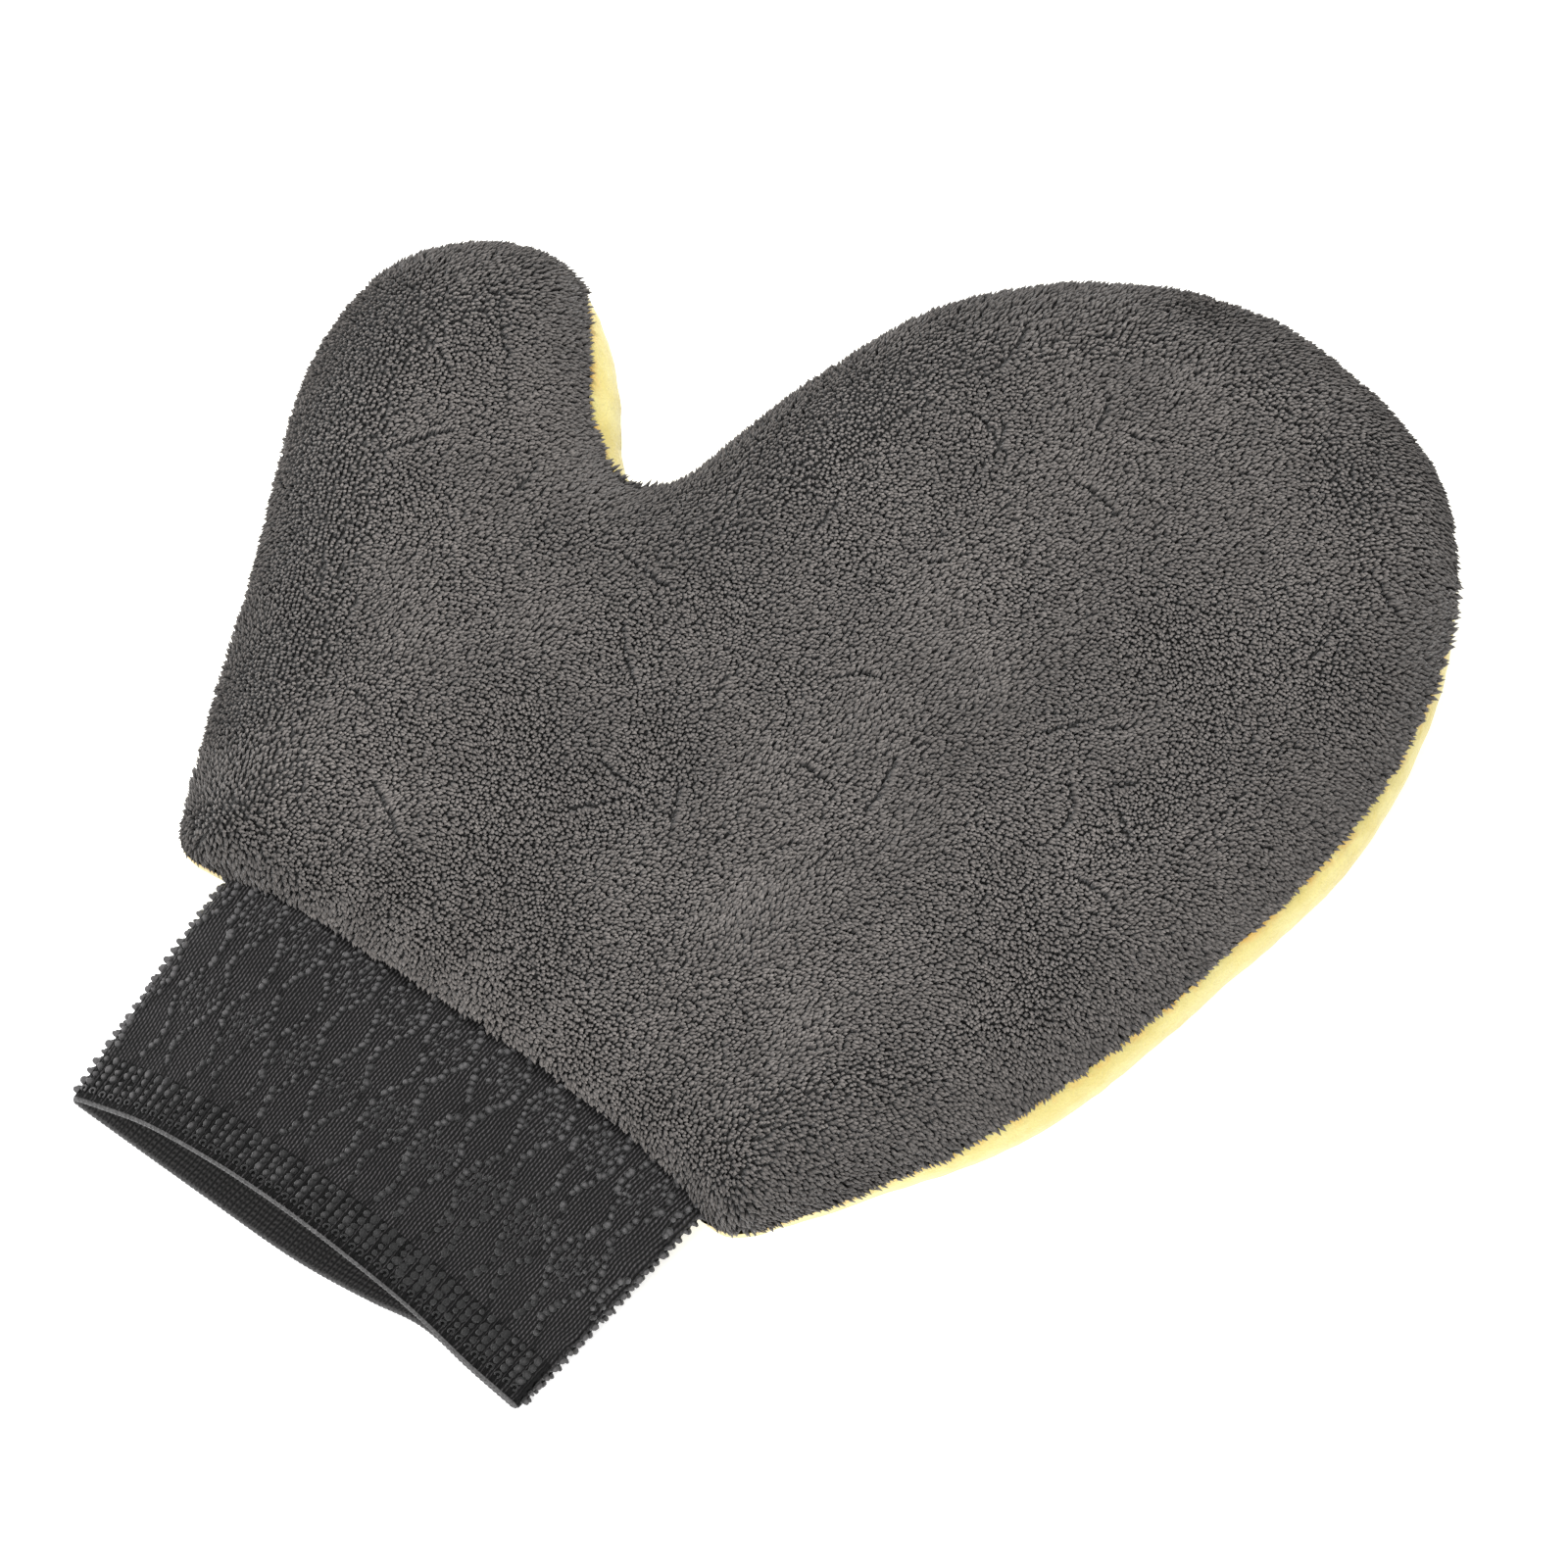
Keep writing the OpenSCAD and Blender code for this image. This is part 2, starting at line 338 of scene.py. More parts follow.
class Side:
    """One face of the mitt: how it curves from the sewn edge over to its middle."""

    def __init__(self, up, run, rise, crown, other, cover, inset=0.0):
        self.up, self.crown, self.inset = up, crown, inset
        self.run, self.rise = run - inset, rise - inset
        self.other_run, self.other_rise = (v - inset for v in other)
        self.base = cover + inset
        self.drawn = 0.7 if up > 0 else -0.4

    def opening(self, xy):
        """Half the height of the wrist opening at plan points."""
        across = np.clip(1 - ((xy[:, 0] - JOIN_X) / JOIN_HALF_W) ** 2, 0, 1)
        half = JOIN_HALF_T * np.sqrt(across) - self.inset
        return np.maximum(half, 0) * (1 - smooth_step(CUFF_L + 3, CUFF_L + MOUTH_REACH, xy[:, 1]))

    def shift(self, xy):
        """How much deeper a point counts, so that the cloth stands open at the wrist."""
        sine = np.clip(self.opening(xy) / self.rise, 0, 0.95)
        return self.run * (1 - np.sqrt(1 - sine ** 2))

    def edge_turn(self, index):
        """The angle on the edge's curve at which this side starts."""
        xy = on_track(index, np.full(len(index), self.base))
        lift = lift_at(index)
        own = np.arcsin(np.clip(np.maximum(lift, self.opening(xy)) / self.rise, 0, 0.95))
        if self.up > 0:
            return own
        above = np.arcsin(np.clip(lift / self.other_rise, 0, 0.95))
        return np.where(self.opening(xy) > 0, own, -above)

    def profile(self, turn):
        """Distance in from the edge and height, for an angle on its curve."""
        run = np.where(turn < 0, self.other_run, self.run)
        rise = np.where(turn < 0, self.other_rise, self.rise)
        return run * (1 - np.cos(turn)), rise * np.sin(turn)

    def swelling(self, xy, value):
        inner = np.maximum(value - self.base, 0)
        crown = self.crown * (1 - np.exp(-(inner / CROWN_REACH) ** 2))
        return crown + self.lumps(xy) * np.clip(inner / LUMP_REACH, 0, 1) + gathers(xy) * self.drawn

    def lumps(self, xy):
        if self.up < 0:
            return 0.2 * waves(xy, SEED + 3, 18.0) - 0.2
        return 1.0 * waves(xy, SEED, 70.0) + 0.4 * waves(xy, SEED + 1, 24.0)

    def rim(self, index, share):
        """Points on the curved rim; share runs from 0 at the sewn edge to 1 at the flat."""
        start = self.edge_turn(index)
        turn = start + (math.pi / 2 - start) * share
        inward, z = self.profile(turn)
        level = self.base + inward
        for _ in range(4):
            xy = on_track(index, level)
            level = np.maximum(self.base + inward - self.shift(xy), self.base)
        xy = on_track(index, level)
        level = level + puckers(xy) * np.cos(turn) ** 2 * (1 - 0.6 * share)
        xy = on_track(index, level)
        return np.column_stack([xy, MID_Z + self.up * (z + self.swelling(xy, level))]), turn

    def rim_normal(self, xy, turn):
        out = -unit(depth.at(xy)[1]) * (self.rise * np.cos(turn))[:, None]
        return unit(np.column_stack([out, self.up * self.run * np.sin(turn)]))

    def flat_points(self, spacing, jitter, margin):
        """A jittered lattice of plan points over the flat part, inside the rim."""
        rng = default_rng(SEED)
        low, high = outline[:, :2].min(0) - 60, outline[:, :2].max(0) + 60
        ys = np.arange(low[1], high[1], spacing * math.sqrt(3) / 2)
        xy = np.array([(x, y) for k, y in enumerate(ys)
                       for x in np.arange(low[0] + (k % 2) * spacing / 2, high[0], spacing)])
        middle = xy.mean(0)
        xy = turned(xy - middle, ROW_TURN) + middle
        xy += rng.uniform(-jitter, jitter, xy.shape) * spacing
        xy = xy[depth.covers(xy)]
        value, _ = depth.at(xy)
        return xy[value + self.shift(xy) > self.base + self.run + spacing * margin]

    def flat(self, xy):
        """Points of the cloth at plan points."""
        value, _ = depth.at(xy)
        u = np.clip((value + self.shift(xy) - self.base) / self.run, 0, 1)
        z = self.rise * np.sqrt(np.maximum(1 - (1 - u) ** 2, 0))
        return np.column_stack([xy, MID_Z + self.up * (z + self.swelling(xy, value))])

    def flat_normal(self, xy):
        d = 0.8
        falls = [(self.flat(xy - step)[:, 2] - self.flat(xy + step)[:, 2]) / (2 * d)
                 for step in ([d, 0], [0, d])]
        return unit(np.column_stack([*falls, np.ones(len(xy))]) * self.up)

    def skin(self, rings=11, spacing=3.4):
        """Points and faces of the cloth itself."""
        n = len(outline)
        index = np.arange(n, dtype=float)
        points = [self.rim(index, k / rings)[0] for k in range(rings + 1)]
        faces = [f for k in range(rings) for f in between(k * n, (k + 1) * n, n)]
        if self.up < 0:
            faces = [f[::-1] for f in faces]
        inner = self.flat_points(spacing, 0.1, 0.4)
        plan = [Vector(p) for p in np.vstack([points[-1][:, :2], inner])]
        edges = [(i, (i + 1) % n) for i in range(n)]
        _, _, tris, origin, _, _ = delaunay_2d_cdt(plan, edges, [], 1, 1e-4)
        points = np.concatenate(points + [self.flat(inner)])
        where = {k: rings * n + o[0] for k, o in enumerate(origin) if o}
        for tri in tris:
            if all(v in where for v in tri):
                f = [where[v] for v in tri]
                a, b, c = (points[i, :2] for i in f)
                area = (b[0] - a[0]) * (c[1] - a[1]) - (b[1] - a[1]) * (c[0] - a[0])
                faces.append(f if area * self.up > 0 else f[::-1])
        return points, faces


# ---- pile

EDGE_SHARE = 0.09     # the part of the rim that counts as its edge
TUFT_GAP = 0.83       # between the tufts of a row
TUFT_ROW_GAP = 0.8
TUFT_TALL = 1.95
TUFT_LEAN = 1.1       # how far the nap pushes a tuft's tip aside
TUFT_HALF_W = 0.47
TUFT_HALF_T = 0.36
TUFTS_PER_PARTING = 1700
PARTING_DEPTH = 14    # partings lie at least this far in from the edge
PARTING_W = 1.1
TUFT_UNEVEN = 0.6     # how light the darkest tufts are, beside the lightest
# painted shade: the tufts are coloured darker where the pile turns away from the light at the edge
EDGE_PAINTED_SHADE = 0.34      # how much darker the tufts are where the pile turns away at the edge
EDGE_TUFTS = 0.65     # how much longer the longest tufts of a lifted edge are
TUFT_POINTS = 9       # four round the foot, four round the middle and the tip


def nap_way(xy):
    """Plan direction in which the brushed pile leans."""
    turn = 0.15 + 0.8 * waves(xy, SEED, 75.0) + 0.5 * waves(xy, SEED + 1, 26.0)
    return np.column_stack([np.cos(turn), np.sin(turn)])


def partings(xy):
    """Sideways pushes that open a few short dark partings in the pile."""
    rng = default_rng(SEED)
    push = np.zeros(xy.shape)
    inner = xy[depth.at(xy)[0] > PARTING_DEPTH]
    for _ in range(len(xy) // TUFTS_PER_PARTING):
        middle = inner[rng.integers(len(inner))]
        turn, half, bend = rng.uniform(0, math.pi), rng.uniform(2.5, 10), rng.normal(0, 0.03)
        way, across = np.array([[math.cos(turn), math.sin(turn)], [-math.sin(turn), math.cos(turn)]])
        along = (xy - middle) @ way
        off = (xy - middle) @ across + bend * along ** 2
        near = np.exp(-(off / PARTING_W) ** 2) * np.clip(1 - (along / half) ** 2, 0, 1)
        push += (np.sign(off) * near)[:, None] * across
    return push


def apart(spots, others, space):
    """True for the spots that have none of the others within about one space."""
    low = np.minimum(spots.min(0), others.min(0)) - 2 * space
    size = ((np.maximum(spots.max(0), others.max(0)) - low) / space).astype(int) + 3
    taken = np.zeros(size, bool)
    cells = ((others - low) / space).astype(int)
    for dx in (-1, 0, 1):
        for dy in (-1, 0, 1):
            if not (dx and dy):
                taken[cells[:, 0] + dx, cells[:, 1] + dy] = True
    mine = ((spots - low) / space).astype(int)
    return ~taken[mine[:, 0], mine[:, 1]]


def pile_roots(side):
    """Where tufts stand, the cloth's normal there, and how much longer a lifted edge's are."""
    rng = default_rng(SEED)
    n = len(outline)
    arc = math.pi / 2 * (side.run + side.rise) / 2
    rows = int(arc / TUFT_ROW_GAP)
    found = []
    for k in range(rows):
        share = (k + 0.35) / rows
        ring, _ = side.rim(np.arange(n, dtype=float), share)
        run = run_along(np.vstack([ring, ring[:1]]))
        count = int(run[-1] / TUFT_GAP)
        want = (np.arange(count) + rng.uniform(0, 1) + rng.uniform(-0.28, 0.28, count)) * TUFT_GAP
        at = np.interp(want % run[-1], run, np.arange(n + 1))
        shares = np.clip(share + rng.uniform(-0.3, 0.3, count) / rows, 0, 1)
        spots, turns = side.rim(at, shares)
        lifted = smooth_step(0.5, 3, lift_at(at % n)) * (share < EDGE_SHARE)
        longer = 1 + lifted * rng.uniform(0, EDGE_TUFTS, count)
        found.append((spots, side.rim_normal(spots[:, :2], turns), longer))
    xy = side.flat_points(TUFT_GAP, 0.24, -1.0)
    rim = np.concatenate([spots for spots, _, _ in found])[:, :2]
    xy = xy[apart(xy, rim, 0.62 * TUFT_GAP)]
    found.append((side.flat(xy), side.flat_normal(xy), np.ones(len(xy))))
    return [np.concatenate(parts) for parts in zip(*found)]


def pile_mesh(roots, normals, longer):
    """Blunt four-sided locks, each point's height up its tuft, and how light its tuft is: its random
    tone times painted shade at the edge.
    """
    rng = default_rng(SEED)
    count = len(roots)
    way = nap_way(roots[:, :2])
    hang = 1 - smooth_step(CUFF_L + 2, CUFF_L + 9, roots[:, 1])
    flat_way = np.column_stack([way, np.zeros(count)]) + rng.normal(0, 0.22, (count, 3))
    flat_way[:, 1] -= 1.3 * hang
    nap = unit(flat_way - (flat_way * normals).sum(1, keepdims=True) * normals)
    across = np.cross(normals, nap)
    high = (TUFT_TALL * rng.uniform(0.82, 1.18, count) * longer)[:, None]
    push = TUFT_LEAN * rng.uniform(0.6, 1.3, count)
    push = (push * (1 + hang * rng.uniform(-0.2, 0.5, count)))[:, None]
    wide = TUFT_HALF_W * rng.uniform(0.8, 1.2, count)[:, None]
    thick = TUFT_HALF_T * rng.uniform(0.8, 1.2, count)[:, None]
    open_way = np.column_stack([partings(roots[:, :2]), np.zeros(count)])
    foot = roots - normals * 0.5
    middle = roots + normals * high * 0.68 + nap * push * 0.5 + open_way * 0.45
    tip = roots + normals * high + nap * push * 1.15 + open_way * 0.9
    corners = (across * wide, nap * thick, -across * wide, -nap * thick)
    rings = [foot + corner * 0.8 for corner in corners] + [middle + corner for corner in corners]
    points = np.stack(rings + [tip], 1).reshape(-1, 3)
    start = np.arange(count)[:, None] * TUFT_POINTS
    sides, tops = between(0, 4, 4), [[4 + i, 4 + (i + 1) % 4, 8] for i in range(4)]
    groups = [np.concatenate([start + f for f in faces]) for faces in (sides, tops, [[3, 2, 1, 0]])]
    height = np.tile([0] * 4 + [0.55] * 4 + [1], count)
    # each tuft's lightness is its random tone times painted shade, darker the more the pile turns
    # away from the light
    turned_away = np.linalg.norm(normals[:, :2], axis=1)
    light = rng.uniform(TUFT_UNEVEN, 1, count) * (1 - EDGE_PAINTED_SHADE * turned_away)
    return points, groups, height, np.repeat(light, TUFT_POINTS)


def tuft_uv(count):
    """A small cell of the baked picture for each tuft, its four sides next to each other."""
    across = math.ceil(math.sqrt(count))
    cell = np.stack([np.arange(count) % across, np.arange(count) // across], -1)[:, None] + 0.1
    sides = [np.array([(i, 0), (i + 1, 0), (i + 1, 2), (i, 2)]) for i in range(4)]
    tops = [np.array([(i, 2), (i + 1, 2), (i + 0.5, 4)]) for i in range(4)]
    foot = [np.array([(4, 0), (3, 0), (2, 0), (1, 0)])]
    groups = [(cell + corners * 0.2) / across for corners in sides + tops + foot]
    return np.concatenate([g.reshape(-1, 2) for g in groups])


def pile_object(name, roots, normals, longer):
    points, groups, height, light = pile_mesh(roots, normals, longer)
    corners = np.concatenate([g.ravel() for g in groups]).astype(np.int32)
    sizes = np.concatenate([np.full(len(g), g.shape[1]) for g in groups])
    mesh = new_mesh(name, points, corners, sizes, [grey_pile])
    uv = tuft_uv(len(roots))
    mesh.uv_layers.new(name="OFBake").data.foreach_set("uv", uv.astype(np.float32).ravel())
    # the second mark is each tuft's random tone times its painted edge shade
    return new_object(mesh, {"tuft_height": height, "tuft_tone_and_edge_shade": light})


# ---- materials

class Paint:
    """A node material with short calls for the nodes it needs."""

    def __init__(self, name):
        self.material = bpy.data.materials.new(name)
        self.material.use_nodes = True
        self.tree = self.material.node_tree
        self.shader = self.tree.nodes["Principled BSDF"]

    def node(self, kind, **values):
        made = self.tree.nodes.new(kind)
        for key, value in values.items():
            if key in made.inputs:
                self.feed(made.inputs[key], value)
            else:
                setattr(made, key, value)
        return made

    def feed(self, socket, value):
        """Gives a socket its value: another node's output, a number or a colour."""
        if isinstance(value, bpy.types.NodeSocket):
            self.tree.links.new(value, socket)
        else:
            socket.default_value = (*value, 1) if isinstance(value, tuple) else value

    def ramp(self, source, stops):
        made = self.node("ShaderNodeValToRGB", Fac=source)
        ramp = made.color_ramp
        while len(ramp.elements) < len(stops):
            ramp.elements.new(0.5)
        for element, (place, colour) in zip(ramp.elements, stops):
            element.position = place
            element.color = (*colour, 1)
        return made.outputs["Color"]

    def greys(self, source, *stops):
        return self.ramp(source, [(place, (grey,) * 3) for place, grey in stops])

    def place(self):
        return self.node("ShaderNodeTexCoord").outputs["Object"]

    def noise(self, size_mm, detail=2.0, rough=0.5):
        """Noise whose bumps are about size_mm across, in the row frame."""
        made = self.node("ShaderNodeTexNoise", Vector=self.place(), Scale=1 / (size_mm * MM),
                         Detail=detail, Roughness=rough)
        return made.outputs["Fac"]

    def mix(self, factor, a, b, blend="MIX"):
        made = self.node("ShaderNodeMix", data_type="RGBA", blend_type=blend)
        for value, socket in ((factor, made.inputs[0]), (a, made.inputs[6]), (b, made.inputs[7])):
            self.feed(socket, value)
        return made.outputs[2]

    def times(self, colour, *others):
        for other in others:
            colour = self.mix(1.0, colour, other, "MULTIPLY")
        return colour

    def math(self, operation, a, b=0.0):
        made = self.node("ShaderNodeMath", operation=operation)
        self.feed(made.inputs[0], a)
        self.feed(made.inputs[1], b)
        return made.outputs[0]

    def bump(self, height, distance_mm, strength=1.0):
        made = self.node("ShaderNodeBump", Height=height, Strength=strength,
                         Distance=distance_mm * MM)
        self.set(Normal=made.outputs["Normal"])

    def wave(self, value, period):
        """1 at each multiple of the period and 0 half-way between."""
        turn = self.math("MULTIPLY", value, math.tau / period)
        half = self.math("MULTIPLY", self.math("COSINE", turn), 0.5)
        return self.math("ADD", half, 0.5)

    def set(self, **values):
        for key, value in values.items():
            self.feed(self.shader.inputs[key.replace("_", " ")], value)

    def attribute(self, name):
        return self.node("ShaderNodeAttribute", attribute_name=name).outputs["Fac"]


def pile_material(name, root, middle, tip):
    """Pile: dark at the roots with painted shade between the tufts and light at the tips, in lighter
    and darker patches.
    """
    p = Paint(name)
    # painted shade: each tuft's colour darkens down towards its root, where the shade between the
    # tufts falls
    along = p.ramp(p.attribute("tuft_height"), [(0.0, root), (0.5, middle), (1.0, tip)])
    patches = p.greys(p.noise(34.0, 3.0, 0.55), (0.3, 0.72), (0.7, 1.0))
    grain = p.greys(p.noise(0.5, 2.0), (0.3, 0.6), (0.7, 1.0))
    p.bump(p.noise(0.35, 1.0), 0.25, 0.6)
    # the tufts' mark darkens them by random tone and by painted shade at the edge
    p.set(Base_Color=p.times(along, patches, p.attribute("tuft_tone_and_edge_shade"), grain), Roughness=0.85,
          Sheen_Weight=0.2, Sheen_Roughness=0.5, Specular_IOR_Level=0.25)
    return p.material


def fleece_material(name, deep, shade, light):
    """Short smooth pile: pale, and deeper in spots beside the seam."""
    p = Paint(name)
    fleece_tone = p.ramp(p.noise(7.0, 2.0), [(0.25, shade), (0.6, light)])
    spots = p.greys(p.noise(3.5, 2.0), (0.42, 0.0), (0.62, 1.0))
    # deeper orange in spots where the near_seam mark is 1, beside the seam
    fleece_tone = p.mix(p.math("MULTIPLY", p.attribute("near_seam"), spots), fleece_tone, deep)
    fibres = p.noise(0.45, 2.0, 0.6)
    p.bump(p.math("ADD", fibres, p.math("MULTIPLY", p.noise(2.2, 2.0), 1.5)), 0.3, 0.6)
    p.set(Base_Color=p.times(fleece_tone, p.greys(fibres, (0.3, 0.9), (0.7, 1.0))), Roughness=0.95,
          Sheen_Weight=0.4, Sheen_Roughness=0.6, Specular_IOR_Level=0.1)
    return p.material


def cloth_material(name, dark, light, thread_mm):
    """Base cloth or lining: a fine knit with slightly uneven colour."""
    p = Paint(name)
    rows = p.node("ShaderNodeTexWave", Vector=p.place(), Scale=1 / (thread_mm * MM) / 3.2,
                  Distortion=1.5, Detail=1.0)
    uneven = p.mix(0.5, rows.outputs["Color"], p.noise(0.8), "OVERLAY")
    p.bump(rows.outputs["Fac"], 0.3, 0.7)
    p.set(Base_Color=p.ramp(uneven, [(0.2, dark), (0.8, light)]), Roughness=0.9,
          Sheen_Weight=0.3, Specular_IOR_Level=0.2)
    return p.material


RIB_GAP = 0.74        # the knit's ribs stand this far apart


def knit_ribs(p):
    """The stitches of the cuff, 1 on a rib's stitch and 0 between, and the map's x and y."""
    uv = p.node("ShaderNodeUVMap", uv_map="knit").outputs["UV"]
    x, y, _ = p.node("ShaderNodeSeparateXYZ", Vector=uv).outputs
    wander = p.math("MULTIPLY", p.math("SUBTRACT", p.noise(6.0), 0.5), 1.2)
    x = p.math("ADD", x, wander)
    rib = p.wave(x, RIB_GAP)
    course = p.wave(p.math("ADD", y, p.math("MULTIPLY", x, 0.8)), 1.1)
    return p.math("MULTIPLY", rib, p.math("ADD", p.math("MULTIPLY", course, 0.5), 0.5)), x, y


def from_knots(p, x, y):
    """How far a place on the knit is from the nearest column of knots."""
    spread = p.wave(p.math("SUBTRACT", y, BAND_AT), BAND_GAP)
    half = p.math("ADD", p.math("MULTIPLY", spread, PAIR_SPREAD), PAIR_HALF)
    off = p.math("PINGPONG", p.math("SUBTRACT", x, PAIR_AT), PAIR_GAP / 2)
    return p.math("ABSOLUTE", p.math("SUBTRACT", off, half))


def knit_material(name, dark, light):
    """The outside of the cuff: fine ribs, with painted shade beside the knots and between the hem's
    columns.
    """
    p = Paint(name)
    stitch, x, y = knit_ribs(p)
    colour = p.ramp(stitch, [(0.25, dark), (0.85, light)])
    # painted shade: the knit darker close beside each column of knots
    colour = p.times(colour, p.greys(from_knots(p, x, y), (0.2, 0.45), (1.0, 1.0)))
    # painted shade in the grooves between the hem's columns of knots
    groove_shade = p.greys(p.wave(x, HEM_GAP), (0.3, 0.05), (0.8, 0.6))
    in_hem = p.math("LESS_THAN", y, HEM_L)
    colour = p.mix(in_hem, colour, p.times(colour, groove_shade))
    patches = p.greys(p.noise(9.0, 2.0), (0.3, 0.75), (0.7, 1.0))
    specks = p.greys(p.noise(0.5, 1.0), (0.35, 0.55), (0.65, 1.0))
    p.bump(stitch, 0.3, 0.8)
    p.set(Base_Color=p.times(colour, patches, specks), Roughness=0.6, Specular_IOR_Level=0.12)
    return p.material


def inside_material(name, dark, light):
    """The inside of the cuff: rows of short dashes across it."""
    p = Paint(name)
    stitch, x, y = knit_ribs(p)
    dash = p.math("MULTIPLY", p.wave(y, 1.15), p.wave(x, 1.3))
    mixed = p.math("ADD", p.math("MULTIPLY", stitch, 0.45), p.math("MULTIPLY", dash, 0.6))
    p.bump(mixed, 0.3, 0.8)
    p.set(Base_Color=p.ramp(mixed, [(0.1, dark), (0.8, light)]), Roughness=0.75,
          Specular_IOR_Level=0.25)
    return p.material


def yarn_material(name, dark, light, fibre_mm, foot_shade=False):
    """Yarn: fine fibres, and where heights are given, painted shade darker towards each knot's foot.
    """
    p = Paint(name)
    fibre = p.noise(fibre_mm, 3.0, 0.6)
    colour = p.ramp(fibre, [(0.3, dark), (0.7, light)])
    if foot_shade:
        # painted shade: the yarn darkens towards the knot's foot and is near black on its skirt
        high = p.attribute("knot_height")
        colour = p.times(colour, p.greys(high, (0.1, 0.02), (0.3, 0.25), (0.75, 1.0)))
    p.bump(fibre, 0.25, 0.7)
    p.set(Base_Color=colour, Roughness=0.65, Sheen_Weight=0.2, Specular_IOR_Level=0.3)
    return p.material


# the near-black root colour is painted shade between the tufts
grey_pile = pile_material("grey_pile", (0.009, 0.0082, 0.0078), (0.086, 0.0783, 0.0737),
                          (0.326, 0.296, 0.276))
# painted shade: the base cloth is coloured dark to show the shade in the gaps between the tufts
shaded_grey_cloth = cloth_material("grey_base_cloth", (0.02, 0.019, 0.018), (0.05, 0.048, 0.046), 0.9)
yellow_fleece = fleece_material("yellow_fleece", (0.60, 0.34, 0.05), (0.57, 0.465, 0.12),
                                (0.62, 0.54, 0.185))
lining_cloth = cloth_material("lining_knit", (0.22, 0.215, 0.21), (0.40, 0.39, 0.38), 1.0)
knit_cloth = knit_material("cuff_knit_outside", (0.001, 0.001, 0.001), (0.07, 0.066, 0.0677))
knit_inside = inside_material("cuff_knit_inside", (0.003, 0.003, 0.003), (0.04, 0.038, 0.0375))
knot_yarn = yarn_material("cuff_knot_yarn", (0.03, 0.029, 0.0292), (0.07, 0.0667, 0.068), 0.5,
                          foot_shade=True)
edge_yarn = yarn_material("rolled_edge_yarn", (0.01, 0.0098, 0.0098), (0.08, 0.078, 0.078), 0.45)
thread = yarn_material("overlock_thread", (0.07, 0.068, 0.066), (0.22, 0.215, 0.21), 0.3)


# ---- threads, knots and rings

def square_to(path):
    """Two directions square to a path at each of its points."""
    way = unit(np.gradient(path, axis=0))
    side = unit(np.cross(way, [0.01, 0.01, 1.0]))
    return side, np.cross(side, way)


def swept(path, half_wide, half_high, sides=8, twist_pitch=None, closed=False):
    """A tube along a path. A twist pitch gives it the slanting strands of a yarn."""
    side, up = square_to(path)
    turns = np.arange(sides) * math.tau / sides
    swell = np.ones((len(path), sides))
    if twist_pitch:
        twist = run_along(path)[:, None] * math.tau / twist_pitch
        swell += 0.16 * np.sin(turns[None, :] * 2 + twist)
    ring = (side[:, None] * (np.cos(turns) * half_wide)[None, :, None]
            + up[:, None] * (np.sin(turns) * half_high)[None, :, None]) * swell[..., None]
    points = (path[:, None] + ring).reshape(-1, 3)
    n = len(path)
    faces = []
    for k in range(n if closed else n - 1):
        faces += between(k * sides, (k + 1) % n * sides, sides)
    if not closed:
        faces += [list(range(sides))[::-1], [(n - 1) * sides + i for i in range(sides)]]
    return points, faces


def coiled(path, radius, pitch, per_turn=9):
    """A path that winds round another path, as an overlock thread does."""
    run = run_along(path)
    at = np.linspace(0, run[-1], int(run[-1] / pitch * per_turn))
    centre = places_at(at, run, path)
    side, up = square_to(centre)
    turn = (at / pitch * math.tau)[:, None]
    return centre + radius * (side * np.cos(turn) + up * np.sin(turn))


def joined(*shapes):
    points, faces, offset = [], [], 0
    for p, f in shapes:
        points.append(p)
        faces += [[i + offset for i in face] for face in f]
        offset += len(p)
    return np.concatenate(points), faces


# Each knot's rings, as shares of its radius and height: first a low skirt, dark with painted shade
# round the knot's foot, then the knot
KNOT_LEVELS = ((1.55, -0.1), (1.05, 0.1), (0.95, 0.5), (0.6, 0.87))


def knots(places, normals, radius, height, seed, skew=0.5, length=1.3):
    """Puffed knots of yarn, longer one way; skew is how much that way varies."""
    rng = default_rng(seed)
    count, sides = len(places), 8
    turns = np.tile(np.arange(sides) * math.tau / sides, (count, 1))
    skewed = rng.normal(0, skew, (count, 3)) + [0.1, 0.99, 0.05]
    a = unit(np.cross(normals, skewed))
    b = np.cross(normals, a)
    wide = radius * rng.uniform(0.7, 1.2, (count, 1, 1))
    long = wide * length * rng.uniform(0.8, 1.25, (count, 1, 1))
    tall = height * rng.uniform(0.7, 1.2, (count, 1))
    circle = (np.cos(turns)[..., None] * a[:, None] * wide
              + np.sin(turns)[..., None] * b[:, None] * long)
    rings = [places[:, None] + circle * w + (normals * tall * h)[:, None] for w, h in KNOT_LEVELS]
    rings.append((places + normals * tall)[:, None])
    points = np.concatenate(rings, 1)
    per = points.shape[1]
    faces = [list(range(sides))[::-1]]
    for k in range(len(KNOT_LEVELS) - 1):
        faces += between(k * sides, (k + 1) * sides, sides)
    last = (len(KNOT_LEVELS) - 1) * sides
    faces += [[last + i, last + (i + 1) % sides, per - 1] for i in range(sides)]
    return points.reshape(-1, 3), [[k * per + i for i in f] for k in range(count) for f in faces]


def open_rings(places, normals, radius=0.58, thick=0.2):
    """Open rings of yarn, which end the hem at the mouth."""
    rng = default_rng(SEED)
    shapes = []
    for place, normal in zip(places, normals):
        a = unit(np.cross(normal, [0.1, 1.0, 0.0]))
        b = np.cross(normal, a)
        turn = (math.pi * 0.5 + rng.uniform(-0.5, 0.5) + np.linspace(0.6, 5.7, 9))[:, None]
        path = place + normal * 0.3 + radius * (a * np.cos(turn) + b * np.sin(turn))
        shapes.append(swept(path, thick, thick, 5))
    return joined(*shapes)


